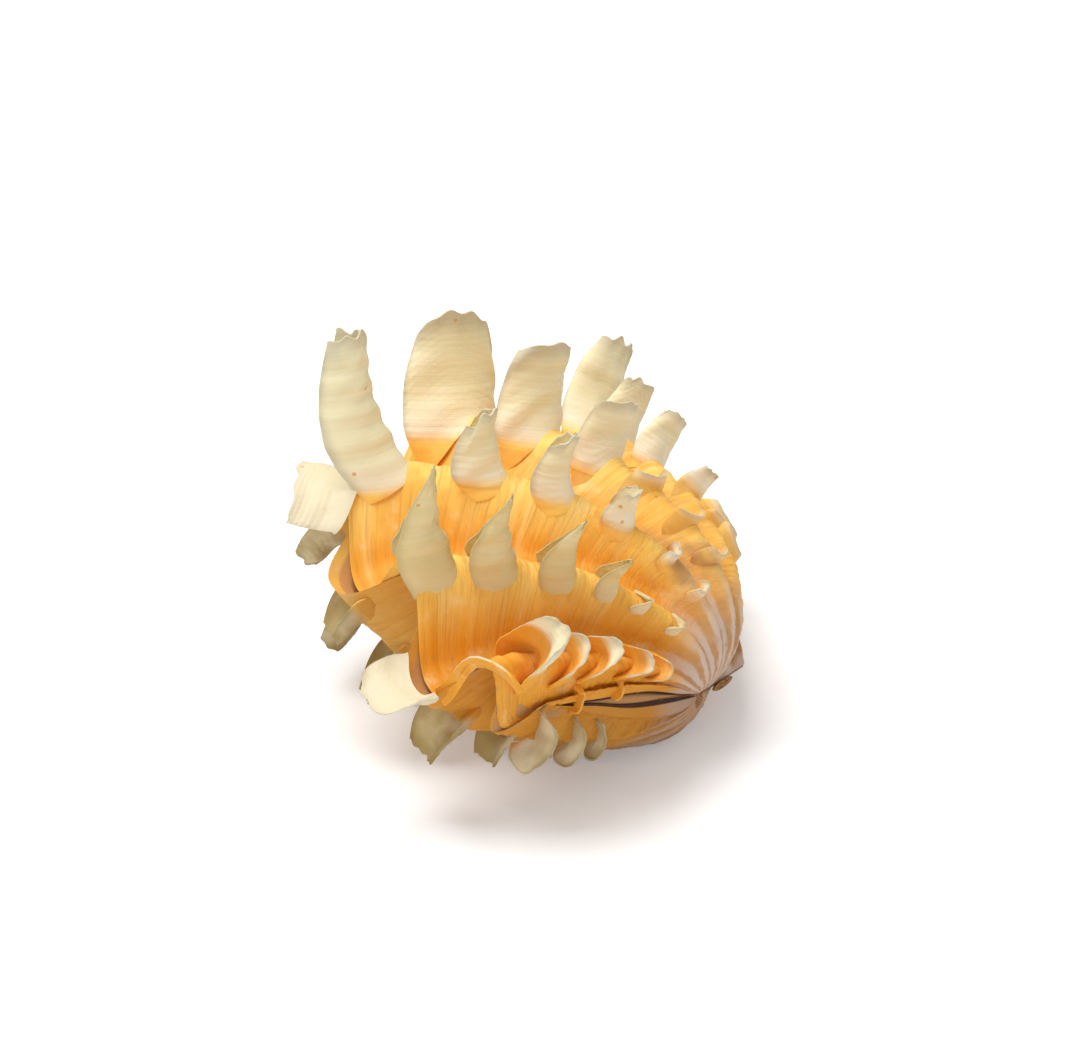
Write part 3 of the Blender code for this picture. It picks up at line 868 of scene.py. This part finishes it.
def shell_material(name, finish, olive):
    """Orange shell with a pale umbo and cream scutes; on the lower valve painted shade darkens the
    wall and lays olive patches on the scutes below the lips.
    """
    material, tree, shader, place = new_material(name)
    at = growth_values(tree, place)

    # On the upper valve's front ribs the hollow side of a scute stays orange further up.
    hollow = math_node(tree, "COMPARE", at.inner, CONCAVE_SIDE, 0.1)
    further = ramp_node(tree, at.position, 1.6, 1.4, 0.0, 0.0 if olive else 0.045)
    risen = math_node(tree, "SUBTRACT", at.height, math_node(tree, "MULTIPLY", hollow, further))
    risen = ramp_node(tree, risen, 0.004, 0.045)
    # The inner surface is orange-brown, darkened as painted shade between the valves.
    lining = ramp_node(tree, at.inner, 0.4, 0.6)
    # Painted shadow: towards the byssal end the lining turns near black, for the dark inside of the
    # gape.
    gape_shadow = ramp_node(tree, at.position, 0.3, 0.1)
    lined = mix_node(tree, gape_shadow, finish.lining_and_shade_colour, finish.gape_shadow_colour)
    specks = group_node(tree, "specks", Scale=330.0, Size=0.17)["Specks"]
    layers = [
        (risen, scute_colour(tree, at, finish, olive)),
        (lining, lined),
        (math_node(tree, "MULTIPLY", specks, 0.6), finish.line_colour),
    ]
    colour = layered(tree, wall_colour(tree, place, at, finish, olive), layers)
    tree.links.new(colour, shader.inputs["Base Color"])

    grain = noise_node(tree, place, 900.0, 4.0, 0.6)
    rough = ramp_node(tree, grain, 0.3, 0.7, finish.roughness - 0.08, finish.roughness + 0.10)
    tree.links.new(rough, shader.inputs["Roughness"])
    shader.inputs["Specular IOR Level"].default_value = 0.2
    lift = math_node(tree, "MULTIPLY_ADD", grain, 0.35, at.lines)
    add_bump(tree, shader, lift, 0.5, 0.0006)
    return material


def ligament_material(finish):
    """Dry, dark, fibrous band."""
    material, tree, shader, place = new_material("dried_ligament")
    stretch = tree.nodes.new("ShaderNodeMapping")
    stretch.inputs["Scale"].default_value = (1.0, 0.12, 1.0)
    tree.links.new(place, stretch.inputs["Vector"])
    fibres = noise_node(tree, stretch.outputs[0], 2600.0, 4.0, 0.7)
    pale = ramp_node(tree, fibres, 0.35, 0.7)
    colour = mix_node(tree, pale, finish.ligament_colour, finish.line_colour)
    tree.links.new(colour, shader.inputs["Base Color"])
    shader.inputs["Roughness"].default_value = 0.75
    add_bump(tree, shader, fibres, 0.6, 0.0004)
    return material


def floor_material(colour):
    """Matt pale floor, a little brighter to the eye so that it meets the backdrop."""
    material, tree, shader, _ = new_material("pale_floor")
    shader.inputs["Base Color"].default_value = (*colour, 1)
    shader.inputs["Roughness"].default_value = 1.0
    shader.inputs["Specular IOR Level"].default_value = 0.0
    seen = tree.nodes.new("ShaderNodeLightPath").outputs["Is Camera Ray"]
    glow = math_node(tree, "MULTIPLY", seen, FLOOR_GLOW)
    shader.inputs["Emission Color"].default_value = (1, 1, 1, 1)
    tree.links.new(glow, shader.inputs["Emission Strength"])
    return material


# --- Properties, operators and panel ------------------------------------------------


def colour_property(name, what, default):
    return FloatVectorProperty(
        name=name,
        description="Colour of " + what,
        default=default,
        subtype="COLOR",
        size=3,
        min=0.0,
        max=1.0,
    )


class ClamFinish(bpy.types.PropertyGroup):
    """Colours and gloss of the shell, as linear values."""

    crest_colour: colour_property("Crest", "the ribs' crests", (1.0, 0.64, 0.14))
    trough_colour: colour_property("Trough", "the troughs between ribs", (0.86, 0.37, 0.03))
    front_colour: colour_property("Front", "the byssal side", (0.76, 0.28, 0.006))
    band_colour: colour_property("Light bands", "the pale growth bands", (1.0, 0.72, 0.26))
    cloud_colour: colour_property("Clouds", "the deeper orange clouds", (0.82, 0.32, 0.015))
    peach_colour: colour_property("Peach", "the pale peach patches", (1.0, 0.72, 0.36))
    line_colour: colour_property("Dark lines", "the dark growth lines", (0.62, 0.26, 0.04))
    stain_colour: colour_property("Stains", "the stained older shell", (0.60, 0.30, 0.09))
    umbo_colour: colour_property("Umbo", "the worn umbo", (0.72, 0.55, 0.45))
    streak_colour: colour_property("Streaks", "the umbo's streaks", (0.60, 0.31, 0.13))
    scute_colour: colour_property("Scutes", "the scutes", (0.93, 0.84, 0.56))
    base_colour: colour_property("Scute roots", "the scutes' roots", (0.92, 0.84, 0.68))
    rim_colour: colour_property("Scute rims", "the scutes' worn edges", (0.50, 0.45, 0.32))
    shade_colour: colour_property("Scute bands", "the scutes' bands", (0.76, 0.68, 0.38))
    # Painted shade in tan on one rib's scutes
    tan_shade_colour: colour_property("Tan scutes", "the tan row of scutes", (0.60, 0.42, 0.08))
    chalk_colour: colour_property("Lips", "the chalky lips", (0.70, 0.61, 0.44))
    # Painted shade laid over the lower valve's wall
    lower_shade_colour: colour_property("Lower valve", "the lower valve's tint", (0.44, 0.18, 0.03))
    # Painted shade in dark olive on the lower valve's scutes
    olive_shade_colour: colour_property("Olive scutes", "the old lower scutes", (0.33, 0.22, 0.05))
    # Orange-brown inner surface, darkened as painted shade
    lining_and_shade_colour: colour_property("Lining", "the inner surface", (0.55, 0.28, 0.10))
    # Painted shadow inside the byssal gape
    gape_shadow_colour: colour_property("Gape", "the inside of the gape", (0.05, 0.018, 0.008))
    ligament_colour: colour_property("Ligament", "the ligament", (0.03, 0.012, 0.005))
    roughness: FloatProperty(
        name="Roughness", description="Gloss of the shell", default=0.58, min=0.0, max=1.0
    )


class ClamDetail(bpy.types.PropertyGroup):
    """How finely the valves are meshed."""

    rib_steps: IntProperty(
        name="Steps per rib", description="Columns of faces on each rib", default=44, min=8
    )
    outer_rows: IntProperty(
        name="Outer rows", description="Rows of faces on the outside", default=230, min=20
    )
    inner_rows: IntProperty(
        name="Inner rows", description="Rows of faces on the inside", default=40, min=10
    )


class ClamStage(bpy.types.PropertyGroup):
    """The floor and the light."""

    floor_size: FloatProperty(
        name="Floor", description="Width of the floor", default=6.0, unit="LENGTH"
    )
    floor_colour: colour_property("Floor colour", "the floor", (0.92, 0.92, 0.92))
    key_power: FloatProperty(
        name="Key", description="Power of the soft light above", default=9.0, unit="POWER"
    )
    fill_power: FloatProperty(
        name="Fill", description="Power of the light in front", default=2.0, unit="POWER"
    )
    sky: FloatProperty(name="Sky", description="Strength of the light all round", default=0.43)


def add_piece(name, mesh, material, node):
    """Links a finished piece, which rides on the shell and takes its CAD solid's place."""
    piece = bpy.data.objects.new(name, mesh)
    bpy.context.scene.collection.objects.link(piece)
    mesh.materials.append(material)
    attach(piece, "root")
    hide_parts(node)


def add_valve(context, side, node, scutes, lips):
    """Grows one valve's wall and its scutes, with one material."""
    detail = context.scene.clam_detail
    material = shell_material(node + "_shell", context.scene.clam_finish, side < 0)
    steps = (detail.rib_steps, detail.outer_rows, detail.inner_rows)
    wall = wall_mesh(side, node + "_wall", swells_of(scutes), steps)
    add_piece(node + "_wall", wall, material, node)
    standing = scutes_mesh(side, node + "_scutes", scutes + lips)
    add_piece(node + "_scutes", standing, material, node)


class CLAM_OT_materials(bpy.types.Operator):
    """Make the shader groups that the shell's finishes share"""

    bl_idname = "clam.materials"
    bl_label = "Shader groups"

    def execute(self, context):
        growth_bands_group()
        specks_group()
        return {"FINISHED"}


class CLAM_OT_upper_valve(bpy.types.Operator):
    """Grow the upper valve and its scutes"""

    bl_idname = "clam.upper_valve"
    bl_label = "Upper valve"

    def execute(self, context):
        add_valve(context, 1, "upper_valve", UPPER_SCUTES, UPPER_LIPS)
        return {"FINISHED"}


class CLAM_OT_lower_valve(bpy.types.Operator):
    """Grow the lower valve and its scutes"""

    bl_idname = "clam.lower_valve"
    bl_label = "Lower valve"

    def execute(self, context):
        add_valve(context, -1, "lower_valve", LOWER_SCUTES, LOWER_LIPS)
        return {"FINISHED"}


class CLAM_OT_ligament(bpy.types.Operator):
    """Give the dried ligament its finish"""

    bl_idname = "clam.ligament"
    bl_label = "Ligament"

    def execute(self, context):
        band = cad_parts["hinge_ligament"]
        band.data.materials.clear()
        band.data.materials.append(ligament_material(context.scene.clam_finish))
        return {"FINISHED"}


def area_light(name, power, width, place, target):
    lamp = bpy.data.lights.new(name, "AREA")
    lamp.energy = power
    lamp.size = width
    item = bpy.data.objects.new(name, lamp)
    item.location = place
    item.rotation_mode = "QUATERNION"
    item.rotation_quaternion = (target - place).to_track_quat("-Z", "Y")
    bpy.context.scene.collection.objects.link(item)


def pale_world(sky):
    """A world that lights at the sky's strength, and shows and mirrors as plain white."""
    world = bpy.data.worlds.new("studio")
    world.use_nodes = True
    tree = world.node_tree
    background = tree.nodes["Background"]
    background.inputs["Color"].default_value = (1, 1, 1, 1)
    path = tree.nodes.new("ShaderNodeLightPath").outputs
    shown = math_node(tree, "MAXIMUM", path["Is Camera Ray"], path["Is Glossy Ray"])
    shown = math_node(tree, "MAXIMUM", shown, path["Is Transmission Ray"])
    tree.links.new(ramp_node(tree, shown, 0.0, 1.0, sky, 1.0), background.inputs["Strength"])
    return world


def add_camera():
    """A long view from the hinge's front side, with the beaks right of and below the middle."""
    azimuth = Matrix.Rotation(math.radians(AZIMUTH), 3, "Z")
    elevation = math.radians(ELEVATION)
    ahead = azimuth @ Vector((0, math.cos(elevation), -math.sin(elevation)))
    right = azimuth @ Vector((1, 0, 0))
    up = right.cross(ahead)
    roll = Matrix.Rotation(math.radians(CAMERA_ROLL), 3, ahead)
    right = roll @ right
    up = roll @ up
    data = bpy.data.cameras.new("camera")
    data.type = "ORTHO"
    data.ortho_scale = VIEW_WIDTH
    data.clip_end = 10 * CAMERA_DISTANCE
    camera = bpy.data.objects.new("camera", data)
    bpy.context.scene.collection.objects.link(camera)
    middle = BEAKS - right * BEAKS_IN_VIEW[0] - up * BEAKS_IN_VIEW[1]
    turned = Matrix((right, up, -ahead)).transposed().to_4x4()
    camera.matrix_world = Matrix.Translation(middle - ahead * CAMERA_DISTANCE) @ turned
    bpy.context.scene.camera = camera


class CLAM_OT_stage(bpy.types.Operator):
    """Set the floor, the light and the camera"""

    bl_idname = "clam.stage"
    bl_label = "Stage"

    def execute(self, context):
        setting = context.scene.clam_stage
        bpy.ops.mesh.primitive_plane_add(size=setting.floor_size, location=(0, 0, 0))
        floor = context.object
        floor.name = "floor"
        floor.data.materials.append(floor_material(setting.floor_colour))
        floor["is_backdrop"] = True
        low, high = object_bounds()
        middle = (low + high) / 2
        area_light("key", setting.key_power, KEY_WIDTH, middle + KEY_PLACE, middle)
        area_light("fill", setting.fill_power, FILL_WIDTH, middle + FILL_PLACE, middle)
        context.scene.world = pale_world(setting.sky)
        add_camera()
        context.scene.view_settings.view_transform = "Standard"
        return {"FINISHED"}


class CLAM_PT_panel(bpy.types.Panel):
    """Lists the shell's settings and steps"""

    bl_label = "Clam Shell"
    bl_idname = "CLAM_PT_panel"
    bl_space_type = "VIEW_3D"
    bl_region_type = "UI"
    bl_category = "Clam Shell"

    def draw(self, context):
        for setting in SETTINGS:
            group = getattr(context.scene, setting)
            box = self.layout.box()
            for name in group.__annotations__:
                box.prop(group, name)
        for operator in OPERATORS:
            self.layout.operator(operator.bl_idname)


SETTINGS = {"clam_finish": ClamFinish, "clam_detail": ClamDetail, "clam_stage": ClamStage}
OPERATORS = (
    CLAM_OT_materials,
    CLAM_OT_upper_valve,
    CLAM_OT_lower_valve,
    CLAM_OT_ligament,
    CLAM_OT_stage,
)


def register():
    for kind in (*SETTINGS.values(), *OPERATORS, CLAM_PT_panel):
        bpy.utils.register_class(kind)
    for name, kind in SETTINGS.items():
        setattr(bpy.types.Scene, name, PointerProperty(type=kind))


def unregister():
    for name in SETTINGS:
        delattr(bpy.types.Scene, name)
    for kind in reversed((*SETTINGS.values(), *OPERATORS, CLAM_PT_panel)):
        bpy.utils.unregister_class(kind)


def main():
    register()
    bpy.ops.clam.materials()
    bpy.ops.clam.upper_valve()
    bpy.ops.clam.lower_valve()
    bpy.ops.clam.ligament()
    bpy.ops.clam.stage()


if __name__ == "__main__":
    main()
